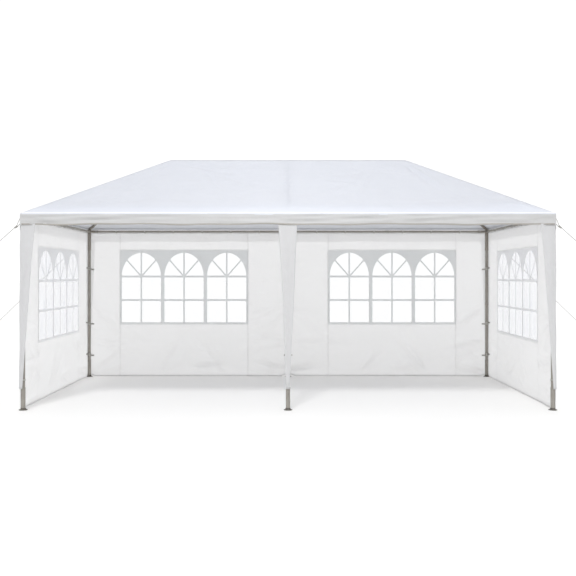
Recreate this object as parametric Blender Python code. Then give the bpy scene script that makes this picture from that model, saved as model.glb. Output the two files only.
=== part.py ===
"""Marquee tent, 6 m by 3 m: a tube frame on six legs, a hipped sheet roof, and walls on three sides.

The frame is steel tube that plugs into welded connectors. The roof cover has four slopes, a short
valance and a tapering flap down each leg. Four wall panels with clear window film close the back
and both ends, and the front is open. A guy rope runs from each corner to a ground peg.
Units are metres, +Z is up, and the origin is on the ground under the middle of the tent.
"""

import math

import bmesh
import bpy
from mathutils import Matrix, Vector

# The gap that is left between pieces that touch
TOUCH = 0.0003

# Plan of the frame, between the centre lines of the legs
BAY = 2.985
HALF_DEPTH = 1.5

# Tube and socket radii
TUBE_R = 0.015
BAR_SOCKET_R = 0.0185
LEG_R = 0.022
LEG_SOCKET_R = 0.0255
SIDES = 12

# Heights and lengths of the connectors
BAR_Z = 2.178
LEG_SOCKET_Z = 1.900
CAP_Z = 2.205
LEG_TOP_Z = 2.060
SOCKET_LENGTH = 0.130
SEAT_DEPTH = 0.060
SOCKET_TWIST = math.radians(7)

# Feet
PLATE_R = 0.048
PLATE_THICK = 0.006
FLARE_R = 0.036
FLARE_Z = 0.022
FOOT_TUBE_R = 0.0252
FOOT_TUBE_Z = 0.246
FOOT_RIM_Z = 0.260
LEG_JOINT_Z = 1.090
LEG_JOINT_R = 0.0245
LEG_JOINT_HALF = 0.022

# Sheeting, in layers outwards from the leg sockets: walls, then valance and leg flaps
SHEET = 0.003
WALL_OFFSET = LEG_SOCKET_R + TOUCH
VALANCE_OFFSET = WALL_OFFSET + SHEET + TOUCH
COVER_OFFSET = VALANCE_OFFSET + SHEET

# Roof cover
COVER_X = BAY + COVER_OFFSET
COVER_Y = HALF_DEPTH + COVER_OFFSET
FOLD_Z = 2.215
RIDGE_TOP_Z = 3.036
RIDGE_HALF = 1.545
RISE = RIDGE_TOP_Z - FOLD_Z
LONG_PITCH = math.atan2(RISE, COVER_Y)
END_PITCH = math.atan2(RISE, COVER_X - RIDGE_HALF)
COVER_DROP = SHEET / math.cos(LONG_PITCH)
FRONT_VALANCE_Z = 2.085
WALL_VALANCE_Z = 2.030

# Rafters and ridge run under the cover, at the depth that lets their sockets just clear it
FRAME_DROP = COVER_DROP + (BAR_SOCKET_R + TOUCH) / math.cos(END_PITCH)
RAFTER_FOOT_Z = FOLD_Z + RISE * COVER_OFFSET / COVER_Y - FRAME_DROP
RIDGE_Z = RIDGE_TOP_Z - FRAME_DROP

# Leg flaps
FLAP_FOOT_Z = 0.240
CORNER_FLAP_TOP = 0.175
CORNER_FLAP_FOOT = 0.040
CENTRE_FLAP_TOP = 0.109
CENTRE_FLAP_FOOT = 0.024

# Wall panels and windows
WALL_FOOT_Z = 0.026
WALL_TOP_Z = 2.155
END_WALL_FRONT = 1.515
BACK_SEAM = 0.001
BACK_WINDOW_X = 1.566
BACK_WINDOW_HALF = 0.958
BACK_WINDOW_FOOT_Z = 0.790
BACK_WINDOW_TOP_Z = 1.898
END_WINDOW_Y = 0.060
END_WINDOW_HALF = 0.926
END_WINDOW_FOOT_Z = 0.712
END_WINDOW_TOP_Z = 1.864

# Guy ropes and ground pegs
ROPE_R = 0.003
ROPE_TOP_Z = 2.105
ROPE_FOOT_Z = 0.018
ROPE_RUN = (2.270, 0.300)
TENSIONER = (0.018, 0.008, 0.045)
TENSIONER_AT = 0.100
PEG_R = 0.004
PEG_SHANK = 0.035
PEG_HOOK_R = 0.012
PEG_TIP = 0.013

ENDS = {"left": -1, "right": 1}
ROWS = {"front": -1, "back": 1}


def clear_scene():
    """Removes every object that the file opened with."""
    for old in list(bpy.data.objects):
        bpy.data.objects.remove(old)


def material(name, colour, roughness, metallic=0.0, alpha=1.0):
    """A Principled BSDF material in linear colour."""
    made = bpy.data.materials.new(name)
    made.use_nodes = True
    shader = made.node_tree.nodes["Principled BSDF"]
    shader.inputs["Base Color"].default_value = (*colour, 1.0)
    shader.inputs["Roughness"].default_value = roughness
    shader.inputs["Metallic"].default_value = metallic
    shader.inputs["Alpha"].default_value = alpha
    return made


def add_object(name, bm, finish):
    """Turns a finished bmesh into a named object with its material."""
    bmesh.ops.remove_doubles(bm, verts=bm.verts, dist=1e-6)
    bmesh.ops.recalc_face_normals(bm, faces=bm.faces)
    mesh = bpy.data.meshes.new(name)
    bm.to_mesh(mesh)
    bm.free()
    mesh.materials.append(finish)
    made = bpy.data.objects.new(name, mesh)
    bpy.context.scene.collection.objects.link(made)
    return made


def smooth(obj):
    """Shades a round piece smooth, with its rims kept sharp."""
    obj.data.shade_smooth()
    obj.data.set_sharp_from_angle(angle=math.radians(40))


def turned(name, profile, finish, sides=SIDES):
    """A closed solid of revolution about local Z, from (radius, height) pairs listed upwards."""
    bm = bmesh.new()
    rings = [(0.0, profile[0][1]), *profile, (0.0, profile[-1][1])]
    verts = [bm.verts.new((radius, 0, height)) for radius, height in rings]
    edges = [bm.edges.new(pair) for pair in zip(verts, verts[1:])]
    bmesh.ops.spin(
        bm, geom=verts + edges, axis=(0, 0, 1), cent=(0, 0, 0), steps=sides, angle=2 * math.pi
    )
    made = add_object(name, bm, finish)
    smooth(made)
    return made


def aim(obj, start, direction, twist=0.0):
    """Stands a piece on start with its local Z along direction, turned about that line by twist."""
    along = Vector(direction).normalized()
    side = along.cross(Vector((0, 0, 1)))
    side = side.normalized() if side.length > 1e-6 else Vector((1, 0, 0))
    up = along.cross(side)
    turn = Matrix((side, up, along)).transposed().to_4x4()
    obj.matrix_world = Matrix.Translation(start) @ turn @ Matrix.Rotation(twist, 4, "Z")
    return obj


def rod(name, start, end, radius, finish, sides=SIDES, twist=0.0):
    """A plain round bar from start to end."""
    start, end = Vector(start), Vector(end)
    length = (end - start).length
    made = turned(name, [(radius, 0.0), (radius, length)], finish, sides)
    return aim(made, start, end - start, twist)


def box(name, low, high, finish):
    """A plain block between two corners."""
    bm = bmesh.new()
    bmesh.ops.create_cube(bm, size=1.0)
    size = Vector(high) - Vector(low)
    middle = (Vector(high) + Vector(low)) / 2
    bmesh.ops.transform(bm, matrix=Matrix.Translation(middle) @ Matrix.Diagonal((*size, 1)), verts=bm.verts)
    return add_object(name, bm, finish)


def prism(name, lower, upper, finish):
    """A closed solid between two outlines that have the same number of corners."""
    bm = bmesh.new()
    low = [bm.verts.new(point) for point in lower]
    high = [bm.verts.new(point) for point in upper]
    bm.faces.new(low)
    bm.faces.new(high)
    count = len(low)
    for i in range(count):
        j = (i + 1) % count
        bm.faces.new((low[i], low[j], high[j], high[i]))
    return add_object(name, bm, finish)


def combine(target, tool, operation):
    """Applies a Boolean of tool to target, and removes the tool."""
    modifier = target.modifiers.new(operation.lower(), "BOOLEAN")
    modifier.solver = "EXACT"
    modifier.operation = operation
    modifier.object = tool
    graph = bpy.context.evaluated_depsgraph_get()
    graph.update()
    result = bpy.data.meshes.new_from_object(target.evaluated_get(graph))
    bm = bmesh.new()
    bm.from_mesh(result)
    bmesh.ops.remove_doubles(bm, verts=bm.verts, dist=1e-5)
    bmesh.ops.dissolve_degenerate(bm, edges=bm.edges, dist=1e-5)
    bm.to_mesh(result)
    bm.free()
    target.modifiers.remove(modifier)
    target.data = result
    bpy.data.objects.remove(tool)


def inset(corners, gap):
    """A convex plan outline, listed anticlockwise, moved inwards by gap on every side."""
    lines = []
    for (x0, y0), (x1, y1) in zip(corners, corners[1:] + corners[:1]):
        length = math.hypot(x1 - x0, y1 - y0)
        normal_x, normal_y = -(y1 - y0) / length, (x1 - x0) / length
        lines.append((normal_x, normal_y, normal_x * x0 + normal_y * y0 + gap))
    moved = []
    for (a0, b0, c0), (a1, b1, c1) in zip(lines[-1:] + lines[:-1], lines):
        det = a0 * b1 - a1 * b0
        moved.append(((c0 * b1 - c1 * b0) / det, (a0 * c1 - a1 * c0) / det))
    return moved


def jointed_tube(name, start, end, radius, collar, finish):
    """A bar made of two tubes, with a raised collar where one plugs into the other."""
    start, end = Vector(start), Vector(end)
    length = (end - start).length
    middle = length / 2
    profile = [
        (radius, 0.0),
        (radius, middle - collar),
        (radius + 0.0015, middle - collar + 0.003),
        (radius + 0.0015, middle + collar - 0.003),
        (radius, middle + collar),
        (radius, length),
    ]
    return aim(turned(name, profile, finish), start, end - start)


def leg_points():
    """The six legs as (name, x, y)."""
    places = []
    for row, row_sign in ROWS.items():
        for end, end_sign in {"left": -1, "centre": 0, "right": 1}.items():
            places.append((f"{row}_{end}", end_sign * BAY, row_sign * HALF_DEPTH))
    return places


def make_legs(finish):
    """Each leg is a foot plate with a flared socket tube, and two tubes that meet at a joint."""
    profile = [
        (PLATE_R, 0.0),
        (PLATE_R, PLATE_THICK),
        (FLARE_R, PLATE_THICK),
        (FOOT_TUBE_R, FLARE_Z),
        (FOOT_TUBE_R, FOOT_TUBE_Z),
        (LEG_R, FOOT_RIM_Z),
        (LEG_R, LEG_JOINT_Z - LEG_JOINT_HALF),
        (LEG_JOINT_R, LEG_JOINT_Z - LEG_JOINT_HALF + 0.004),
        (LEG_JOINT_R, LEG_JOINT_Z + LEG_JOINT_HALF - 0.004),
        (LEG_R, LEG_JOINT_Z + LEG_JOINT_HALF),
        (LEG_R, LEG_TOP_Z),
    ]
    for place, x, y in leg_points():
        leg = turned(f"leg_{place}", profile, finish)
        leg.location = (x, y, 0)


def rafter_ends():
    """Rafters as (name, foot on the eaves, head on the ridge)."""
    found = []
    for place, x, y in leg_points():
        head_x = math.copysign(RIDGE_HALF, x) if x else 0.0
        foot = Vector((x, y, RAFTER_FOOT_Z))
        head = Vector((head_x, 0.0, RIDGE_Z))
        found.append((place, foot, head))
    return found


def connector(name, parts, bores, finish):
    """Fuses socket rods into one casting and bores them. Each entry is (start, end, radius)."""
    start, end, radius = parts[0]
    body = rod(name, start, end, radius, finish, twist=SOCKET_TWIST)
    for number, (start, end, radius) in enumerate(parts[1:], 2):
        arm = rod("tool", start, end, radius, finish, twist=number * SOCKET_TWIST)
        combine(body, arm, "UNION")
    for number, (start, end, radius) in enumerate(bores, 1):
        bore = rod("tool", start, end, radius, finish, twist=number * SOCKET_TWIST)
        combine(body, bore, "DIFFERENCE")
    smooth(body)


def bore_for(radius):
    """Radius of a faceted bore that takes a round bar at any turn."""
    return (radius + TOUCH) / math.cos(math.pi / SIDES)


def socket(origin, direction):
    """One bar socket and its bore, leaving origin along direction."""
    along = Vector(direction).normalized()
    mouth = origin + along * SOCKET_LENGTH
    seat = mouth - along * SEAT_DEPTH
    return (origin, mouth, BAR_SOCKET_R), (seat, mouth + along * 0.01, bore_for(TUBE_R))


def make_eave_connectors(finish):
    """A leg socket with sockets for the eave bars and for the rafter, at the head of each leg."""
    for place, foot, head in rafter_ends():
        x, y = foot.x, foot.y
        centre = Vector((x, y, BAR_Z))
        bottom, top = Vector((x, y, LEG_SOCKET_Z - 0.01)), Vector((x, y, LEG_TOP_Z + TOUCH))
        if x:
            arms = [(-x, 0, 0), (0, -y, 0)]
        else:
            arms = [(1, 0, 0), (-1, 0, 0)]
        sockets = [socket(centre, arm) for arm in arms] + [socket(foot, head - foot)]
        parts = [(Vector((x, y, LEG_SOCKET_Z)), Vector((x, y, CAP_Z)), LEG_SOCKET_R)]
        parts += [part for part, bore in sockets]
        bores = [(bottom, top, bore_for(LEG_R))] + [bore for part, bore in sockets]
        connector(f"eave_connector_{place}", parts, bores, finish)


def make_ridge_connectors(finish):
    """The three ridge joints, where the rafters meet the ridge bars."""
    for place, sign in {"left": -1, "centre": 0, "right": 1}.items():
        origin = Vector((sign * RIDGE_HALF, 0.0, RIDGE_Z))
        ridge_arms = [(-sign, 0, 0)] if sign else [(1, 0, 0), (-1, 0, 0)]
        rafter_arms = [
            foot - head for name, foot, head in rafter_ends() if (head - origin).length < 0.01
        ]
        sockets = [socket(origin, arm) for arm in ridge_arms + rafter_arms]
        parts = [part for part, bore in sockets]
        bores = [bore for part, bore in sockets]
        connector(f"ridge_connector_{place}", parts, bores, finish)


def plugged(start, end):
    """The two ends of a tube that plugs into sockets at start and end."""
    start, end = Vector(start), Vector(end)
    along = (end - start).normalized() * (SOCKET_LENGTH - SEAT_DEPTH + TOUCH)
    return start + along, end - along


def make_bars(finish):
    """Eave bars, ridge bars and rafters."""
    for row, row_sign in ROWS.items():
        y = row_sign * HALF_DEPTH
        for end, end_sign in ENDS.items():
            start, stop = plugged((0, y, BAR_Z), (end_sign * BAY, y, BAR_Z))
            jointed_tube(f"eave_bar_{row}_{end}", start, stop, TUBE_R, 0.03, finish)
    for end, sign in ENDS.items():
        x = sign * BAY
        start, stop = plugged((x, -HALF_DEPTH, BAR_Z), (x, HALF_DEPTH, BAR_Z))
        jointed_tube(f"eave_bar_{end}_end", start, stop, TUBE_R, 0.03, finish)
        start, stop = plugged((0, 0, RIDGE_Z), (sign * RIDGE_HALF, 0, RIDGE_Z))
        rod(f"ridge_bar_{end}", start, stop, TUBE_R, finish)
    for place, foot, head in rafter_ends():
        start, stop = plugged(foot, head)
        jointed_tube(f"rafter_{place}", start, stop, TUBE_R, 0.03, finish)


def slope_height(x, y):
    """Height of the cover's outer surface over a point of the plan."""
    long_side = RISE * (COVER_Y - abs(y)) / COVER_Y
    end_side = RISE * (COVER_X - abs(x)) / (COVER_X - RIDGE_HALF)
    return FOLD_Z + min(long_side, end_side)


def make_roof(finish):
    """The four slopes of the cover, which meet along the ridge and the hips."""
    corner, ridge = (COVER_X, COVER_Y), (RIDGE_HALF, 0.0)
    front = [(-corner[0], -corner[1]), (corner[0], -corner[1]), ridge, (-ridge[0], 0.0)]
    right = [(corner[0], -corner[1]), corner, ridge]
    plans = {
        "front": front,
        "back": [(-x, -y) for x, y in front],
        "right": right,
        "left": [(-x, -y) for x, y in right],
    }
    for side, plan in plans.items():
        outline = inset(plan, TOUCH / 2)
        upper = [(x, y, slope_height(x, y)) for x, y in outline]
        lower = [(x, y, z - COVER_DROP) for x, y, z in upper]
        prism(f"roof_cover_{side}", lower, upper, finish)


def make_valances(finish):
    """The upright edge of the cover on each side. It is deeper where it laps over a wall."""
    top = FOLD_Z - COVER_DROP - TOUCH
    inner_x, inner_y = BAY + VALANCE_OFFSET, HALF_DEPTH + VALANCE_OFFSET
    for row, sign in ROWS.items():
        near, far = sorted((sign * inner_y, sign * COVER_Y))
        bottom = FRONT_VALANCE_Z if row == "front" else WALL_VALANCE_Z
        box(f"valance_{row}", (-COVER_X, near, bottom), (COVER_X, far, top), finish)
    for end, sign in ENDS.items():
        near, far = sorted((sign * inner_x, sign * COVER_X))
        reach = inner_y - TOUCH
        box(f"valance_{end}", (near, -reach, WALL_VALANCE_Z), (far, reach, top), finish)


def taper(name, corner, along, inward, widths, top, finish):
    """An upright strip that starts at corner, runs along one way and narrows downwards."""
    corner, along, inward = Vector(corner), Vector(along), Vector(inward)
    outlines = []
    for (start, stop), z in zip(widths, (FLAP_FOOT_Z, top)):
        low, high = corner + along * start, corner + along * stop
        outlines.append([(*point, z) for point in (low, high, high + inward, low + inward)])
    return prism(name, *outlines, finish)


def make_leg_flaps(finish):
    """The tapering flaps that hang from the valance over each leg, angled round the corners."""
    for place, x, y in leg_points():
        side_y = math.copysign(1, y)
        front_top = (FRONT_VALANCE_Z if y < 0 else WALL_VALANCE_Z) - TOUCH
        inward_y = (0, -side_y * SHEET)
        name = f"leg_flap_{place}"
        if not x:
            spans = [(-CENTRE_FLAP_FOOT, CENTRE_FLAP_FOOT), (-CENTRE_FLAP_TOP, CENTRE_FLAP_TOP)]
            taper(name, (0, side_y * COVER_Y), (1, 0), inward_y, spans, front_top, finish)
            continue
        side_x = math.copysign(1, x)
        corner = (side_x * COVER_X, side_y * COVER_Y)
        spans = [(0, CORNER_FLAP_FOOT), (0, CORNER_FLAP_TOP)]
        flap = taper(name, corner, (-side_x, 0), inward_y, spans, front_top, finish)
        spans = [(SHEET / 2, CORNER_FLAP_FOOT), (SHEET / 2, CORNER_FLAP_TOP)]
        inward_x = (-side_x * SHEET, 0)
        side = taper("tool", corner, (0, -side_y), inward_x, spans, WALL_VALANCE_Z - TOUCH, finish)
        combine(flap, side, "UNION")


def wall_with_window(name, low, high, window_low, window_high, wall_finish, film_finish):
    """A wall panel with its window cut through, and the clear film that fills the window."""
    wall = box(f"wall_{name}", low, high, wall_finish)
    combine(wall, box("tool", window_low, window_high, wall_finish), "DIFFERENCE")
    thin = [i for i in range(2) if high[i] - low[i] < 2 * SHEET][0]
    film_low = [value + TOUCH for value in window_low]
    film_high = [value - TOUCH for value in window_high]
    film_low[thin], film_high[thin] = low[thin], high[thin]
    box(f"window_{name}", film_low, film_high, film_finish)


def make_walls(wall_finish, film_finish):
    """Two panels along the back and one across each end, all with one wide window."""
    inner, outer = HALF_DEPTH + WALL_OFFSET, HALF_DEPTH + WALL_OFFSET + SHEET
    through = 0.02
    for end, sign in ENDS.items():
        near_x, far_x = sorted((sign * BACK_SEAM, sign * (BAY + WALL_OFFSET + SHEET)))
        middle = sign * BACK_WINDOW_X
        wall_with_window(
            f"back_{end}",
            (near_x, inner, WALL_FOOT_Z),
            (far_x, outer, WALL_TOP_Z),
            (middle - BACK_WINDOW_HALF, inner - through, BACK_WINDOW_FOOT_Z),
            (middle + BACK_WINDOW_HALF, outer + through, BACK_WINDOW_TOP_Z),
            wall_finish,
            film_finish,
        )
        near_x, far_x = sorted((sign * (BAY + WALL_OFFSET), sign * (BAY + WALL_OFFSET + SHEET)))
        wall_with_window(
            f"{end}_end",
            (near_x, -END_WALL_FRONT, WALL_FOOT_Z),
            (far_x, inner - TOUCH, WALL_TOP_Z),
            (near_x - through, END_WINDOW_Y - END_WINDOW_HALF, END_WINDOW_FOOT_Z),
            (far_x + through, END_WINDOW_Y + END_WINDOW_HALF, END_WINDOW_TOP_Z),
            wall_finish,
            film_finish,
        )


def make_guy_ropes(rope_finish, peg_finish):
    """A taut rope from each corner of the cover to a hooked peg, with a tensioner on the rope."""
    run_x, run_y = ROPE_RUN
    for row, row_sign in ROWS.items():
        for end, end_sign in ENDS.items():
            fall = math.atan2(ROPE_TOP_Z - ROPE_FOOT_Z, math.hypot(run_x, run_y))
            clearance = ROPE_R * math.sin(fall) + TOUCH
            top_x = COVER_X + clearance
            peg_x, peg_y = end_sign * (top_x + run_x), row_sign * (HALF_DEPTH + run_y)
            outward = Vector((end_sign * run_x, row_sign * run_y, 0)).normalized()
            top = Vector((end_sign * top_x, row_sign * HALF_DEPTH, ROPE_TOP_Z))
            foot = Vector((peg_x, peg_y, ROPE_FOOT_Z)) - outward * (PEG_R + clearance)
            rope = rod(f"guy_rope_{row}_{end}", top, foot, ROPE_R, rope_finish, 8)
            half = Vector(TENSIONER) / 2
            plate = box("tool", -half, half, rope_finish)
            aim(plate, top + (foot - top).normalized() * TENSIONER_AT, foot - top)
            combine(rope, plate, "UNION")
            make_peg(f"ground_peg_{row}_{end}", Vector((peg_x, peg_y, 0)), outward, peg_finish)


def make_peg(name, place, outward, finish):
    """The part of a peg above the ground: a shank bent over into a hook."""
    turns = 6
    points = [(0.0, 0.0), (0.0, PEG_SHANK)]
    for step in range(1, turns + 1):
        angle = math.pi * (1 - step / turns)
        points.append((PEG_HOOK_R * (1 + math.cos(angle)), PEG_SHANK + PEG_HOOK_R * math.sin(angle)))
    points.append((2 * PEG_HOOK_R, PEG_SHANK - PEG_TIP))
    curve = bpy.data.curves.new(name, "CURVE")
    curve.dimensions = "3D"
    curve.bevel_depth = PEG_R
    curve.bevel_resolution = 2
    curve.use_fill_caps = True
    spline = curve.splines.new("POLY")
    spline.points.add(len(points) - 1)
    for point, (reach, height) in zip(spline.points, points):
        point.co = (reach, 0.0, height, 1.0)
    curve.materials.append(finish)
    peg = bpy.data.objects.new(name, curve)
    bpy.context.scene.collection.objects.link(peg)
    peg.location = place
    peg.rotation_euler.z = math.atan2(outward.y, outward.x)


def main():
    """Builds the whole tent."""
    clear_scene()
    tube = material("powder_coated_steel_tube", (0.30, 0.29, 0.27), 0.45, 0.3)
    joint = material("powder_coated_steel_joint", (0.24, 0.23, 0.215), 0.45, 0.3)
    roof = material("coated_roof_sheeting", (0.83, 0.85, 0.90), 0.5)
    wall = material("coated_wall_sheeting", (0.80, 0.80, 0.80), 0.55)
    film = material("clear_window_film", (0.85, 0.88, 0.90), 0.1, alpha=0.35)
    rope = material("braided_rope", (0.70, 0.70, 0.68), 0.8)
    peg = material("zinc_plated_peg", (0.45, 0.45, 0.46), 0.35, 1.0)
    make_legs(tube)
    make_eave_connectors(joint)
    make_ridge_connectors(joint)
    make_bars(tube)
    make_roof(roof)
    make_valances(roof)
    make_leg_flaps(roof)
    make_walls(wall, film)
    make_guy_ropes(rope, peg)


main()
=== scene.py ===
# %% [markdown]
# # Dressing a marquee tent
# The construction of the tent comes as plain solids: tubes, connectors, slabs for the sheeting and
# bars for the ropes. This lesson gives each of them its looks. Tubes get rounded rims, buttons and
# paint, the slabs become thin sheeting with folds, seams and eyelets, and the bars become rope.
# Every size below is in metres and is read from the solids, or is a real size of the thing made.

# %% Load the construction
import math
from functools import partial

import bmesh
import bpy
import numpy as np
from mathutils import Matrix, Vector


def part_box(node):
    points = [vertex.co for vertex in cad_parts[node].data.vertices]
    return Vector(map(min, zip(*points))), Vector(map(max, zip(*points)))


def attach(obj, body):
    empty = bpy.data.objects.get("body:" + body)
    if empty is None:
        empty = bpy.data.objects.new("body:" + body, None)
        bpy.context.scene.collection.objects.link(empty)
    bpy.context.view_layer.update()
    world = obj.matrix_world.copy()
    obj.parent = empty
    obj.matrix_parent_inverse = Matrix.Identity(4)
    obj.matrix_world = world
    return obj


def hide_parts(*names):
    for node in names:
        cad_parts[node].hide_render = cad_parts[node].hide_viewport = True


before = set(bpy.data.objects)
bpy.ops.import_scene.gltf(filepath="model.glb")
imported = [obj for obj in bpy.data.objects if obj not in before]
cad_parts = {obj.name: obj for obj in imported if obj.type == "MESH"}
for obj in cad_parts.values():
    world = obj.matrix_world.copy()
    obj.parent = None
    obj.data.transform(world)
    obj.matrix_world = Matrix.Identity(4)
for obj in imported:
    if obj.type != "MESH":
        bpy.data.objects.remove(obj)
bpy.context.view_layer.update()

# %% [markdown]
# ## The driving sizes
# Everything is placed from the solids, so the visible tent fits the one that collides and carries.
# The names say what each size is on the tent. The fold at the eave stands a few millimetres above
# the lowest edge of the slope's slab.

# %% Read the plan and the heights of the tent
TUBE_R = 0.015
BAR_Z = 2.178
RIDGE_HALF = 1.545
low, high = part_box("roof_cover_front")
COVER_X, COVER_Y, RIDGE_Z = high.x, -low.y, high.z
FOLD_Z = low.z + 0.0034
leg_low, leg_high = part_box("leg_front_right")
LEG_X, LEG_Y = (leg_low.x + leg_high.x) / 2, -(leg_low.y + leg_high.y) / 2
FOOT_R = (leg_high.x - leg_low.x) / 2
FRONT_HEM_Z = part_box("valance_front")[0].z
WALL_HEM_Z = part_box("valance_back")[0].z
FLAP_FOOT_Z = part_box("leg_flap_front_centre")[0].z
WALL_FOOT_Z, WALL_TOP_Z = (corner.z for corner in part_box("wall_back_right"))
PITCH = math.atan2(RIDGE_Z - FOLD_Z, COVER_Y)
UP = Vector((0, 0, 1))
LEG_SPOTS = [(f"{row}_{end}", sign_x, sign_y) for row, sign_y in (("front", -1), ("back", 1))
             for end, sign_x in (("left", -1), ("centre", 0), ("right", 1))]
print(f"cover {2 * COVER_X:.3f} x {2 * COVER_Y:.3f} m, fold {FOLD_Z:.3f}, ridge {RIDGE_Z:.3f}")
print(f"roof pitch {math.degrees(PITCH):.1f} degrees, legs at {LEG_X:.3f}, {LEG_Y:.3f}")

# %% [markdown]
# ## Colours and nodes
# Colours are written the way a paint chart or a screen gives them, as sRGB hex. Blender's sockets
# want linear light, so one function converts them. A second one adds a shader node, sets its
# sockets and links what is a node already, which keeps each material short enough to read.

# %% Small helpers for every material
def paint(hex_colour, share=1.0):
    """A share of an sRGB hex colour, as linear colour with alpha 1."""
    channels = [int(hex_colour[i : i + 2], 16) / 255 for i in (1, 3, 5)]
    return (*[share * (c / 12.92 if c <= 0.04045 else ((c + 0.055) / 1.055) ** 2.4) for c in channels], 1.0)


def add_node(tree, kind, sockets=None, **settings):
    """Adds a shader node. A socket takes a constant, a node's first output or a named output."""
    made = tree.nodes.new("ShaderNode" + kind)
    for name, value in settings.items():
        setattr(made, name, value)
    for name, value in (sockets or {}).items():
        if isinstance(value, bpy.types.Node):
            value = next(output for output in value.outputs if output.enabled)
        if isinstance(value, bpy.types.NodeSocket):
            tree.links.new(value, made.inputs[name])
        else:
            made.inputs[name].default_value = value
    return made


def new_material(name):
    """An empty material, and add_node for its tree."""
    made = bpy.data.materials.new(name)
    made.use_nodes = True
    made.node_tree.nodes.clear()
    return made, partial(add_node, made.node_tree)


print("linear white", paint("#FFFFFF"), "mid grey", round(paint("#808080")[0], 3))

# %% [markdown]
# ## Woven polyethylene sheeting
# The cover and the walls are woven from flat polyethylene tapes about 2 mm wide and coated on both sides,
# about 110 g a square metre. The coating gives a soft, waxy sheen, and light comes through the thin sheet. So
# the shader mixes a Principled surface with a Translucent one. Where a second layer laps inside the front
# slope, less comes through, and the thin trim at the back and the ends lets more through. The weave is two
# crossed waves in a UV map laid out in metres. It is finer than a pixel, so its bump is slight. Folding in
# the bag leaves long slanting marks, a stretched noise with ridges, and small crumples, a plain noise. The
# ridges are also painted darker in colour: a painted shade in the folds.

# %% Make the sheeting materials
TAPE_WIDTH = 0.0022
CRUMPLE_SIZE = 0.090
FACET_SIZE = 0.30
FOLD_SLANT = math.radians(24)
FRONT_LENGTH = 2 * COVER_X


def sheeting(name, hex_colour, see_through, glow_colour, roughness=0.5, crumple=0.6, doubled=None,
             fold_shade=0.93):
    """Coated woven sheeting. see_through is the light's share that goes through one layer.

    doubled is how far down from the ridge a second, inner layer starts on the front slope, in metres.
    fold_shade is how dark the folds are painted against the rest, a painted shade in the creases.
    """
    made, node = new_material(name)
    metres = node("UVMap", uv_map="metres")
    tapes = [node("TexWave", {"Vector": metres, "Scale": 2 * math.pi / (20 * TAPE_WIDTH)},
                  bands_direction=axis).outputs["Fac"] for axis in ("X", "Y")]
    weave = node("Math", {0: tapes[0], 1: tapes[1]}, operation="MAXIMUM")
    slanted = node("Mapping", {
        "Vector": metres, "Rotation": (0.0, 0.0, FOLD_SLANT), "Scale": (0.5, 2.0, 1.0)})
    folds = node("TexNoise", {"Vector": slanted, "Scale": 1 / FACET_SIZE, "Detail": 3.0, "Distortion": 0.5},
                 noise_type="RIDGED_MULTIFRACTAL")
    crumples = node("TexNoise", {
        "Vector": metres, "Scale": 1 / CRUMPLE_SIZE, "Detail": 4.0, "Distortion": 0.6})
    soft = node("Bump", {"Height": crumples, "Strength": crumple, "Distance": 0.006})
    coarse = node("Bump", {"Height": folds, "Strength": crumple, "Distance": 0.012, "Normal": soft})
    fine = node("Bump", {"Height": weave, "Strength": 0.12, "Distance": 0.0003, "Normal": coarse})
    cloudy = node("TexNoise", {"Vector": metres, "Scale": 3.0, "Detail": 3.0})
    clouded = node("Mix", {
        "Factor": cloudy, "A": paint(hex_colour), "B": paint(hex_colour, 0.955)}, data_type="RGBA")
    # The ridges of the folds are painted darker here: a painted shade in the creases.
    fold_shade_share = node("MapRange", {"Value": folds, "From Min": 0.9, "From Max": 2.2, "To Max": crumple * 0.8})
    tone = node("Mix", {"Factor": fold_shade_share, "A": clouded, "B": paint(hex_colour, fold_shade)}, data_type="RGBA")
    if doubled:
        spot = node("SeparateXYZ", {0: metres}).outputs
        below = node("MapRange", {"Value": spot["Y"], "From Min": doubled - 0.16, "From Max": doubled + 0.14},
                     interpolation_type="SMOOTHSTEP")
        in_front = node("Math", {0: spot["X"], 1: FRONT_LENGTH}, operation="LESS_THAN")
        share = node("Math", {0: below, 1: in_front}, operation="MULTIPLY")
        see_through = node("MapRange", {"Value": share, "To Min": see_through, "To Max": see_through * 0.2})
    face = node("BsdfPrincipled", {
        "Base Color": tone, "Roughness": roughness, "IOR": 1.5, "Specular IOR Level": 0.35,
        "Normal": fine})
    through = node("BsdfTranslucent", {"Color": paint(glow_colour), "Normal": fine})
    both = node("MixShader", {0: see_through, 1: face, 2: through})
    node("OutputMaterial", {"Surface": both})
    return made


# The roof and the valance are one cloth. The roof's sheeting is tinted cool, a painted cast of the cool light
# from above. The valance's sheeting is a darker grey, a painted shade on the upright cloth.
roof_sheeting = sheeting("woven_polyethylene_roof_sheeting", "#E4E7EF", 0.37, "#FAF9F7", crumple=1.0,
                         doubled=1.56, fold_shade=0.86)
flap_sheeting = sheeting("woven_polyethylene_flap_sheeting", "#DDDDDE", 0.20, "#EEEEEF", crumple=1.0)
valance_painted_shade = sheeting("woven_polyethylene_valance_painted_shade", "#D8D8D8", 0.20, "#E6E6E6",
                            crumple=1.0, fold_shade=0.80)
thin_trim_sheeting = sheeting("thin_woven_polyethylene_trim_sheeting", "#F6F6F6", 0.86, "#FAFAFA",
                              crumple=0.9)
wall_sheeting = sheeting("woven_polyethylene_wall_sheeting", "#F8F7F7", 0.84, "#FBFBFB", crumple=1.0,
                         fold_shade=0.83)
hem_sheeting = sheeting("folded_polyethylene_hem", "#F3F2F2", 0.76, "#F6F6F6", crumple=0.1)
hem_tape = sheeting("polyester_hem_tape", "#B9B5AF", 0.15, "#D0CDC9", 0.7, 0.0)
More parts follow.
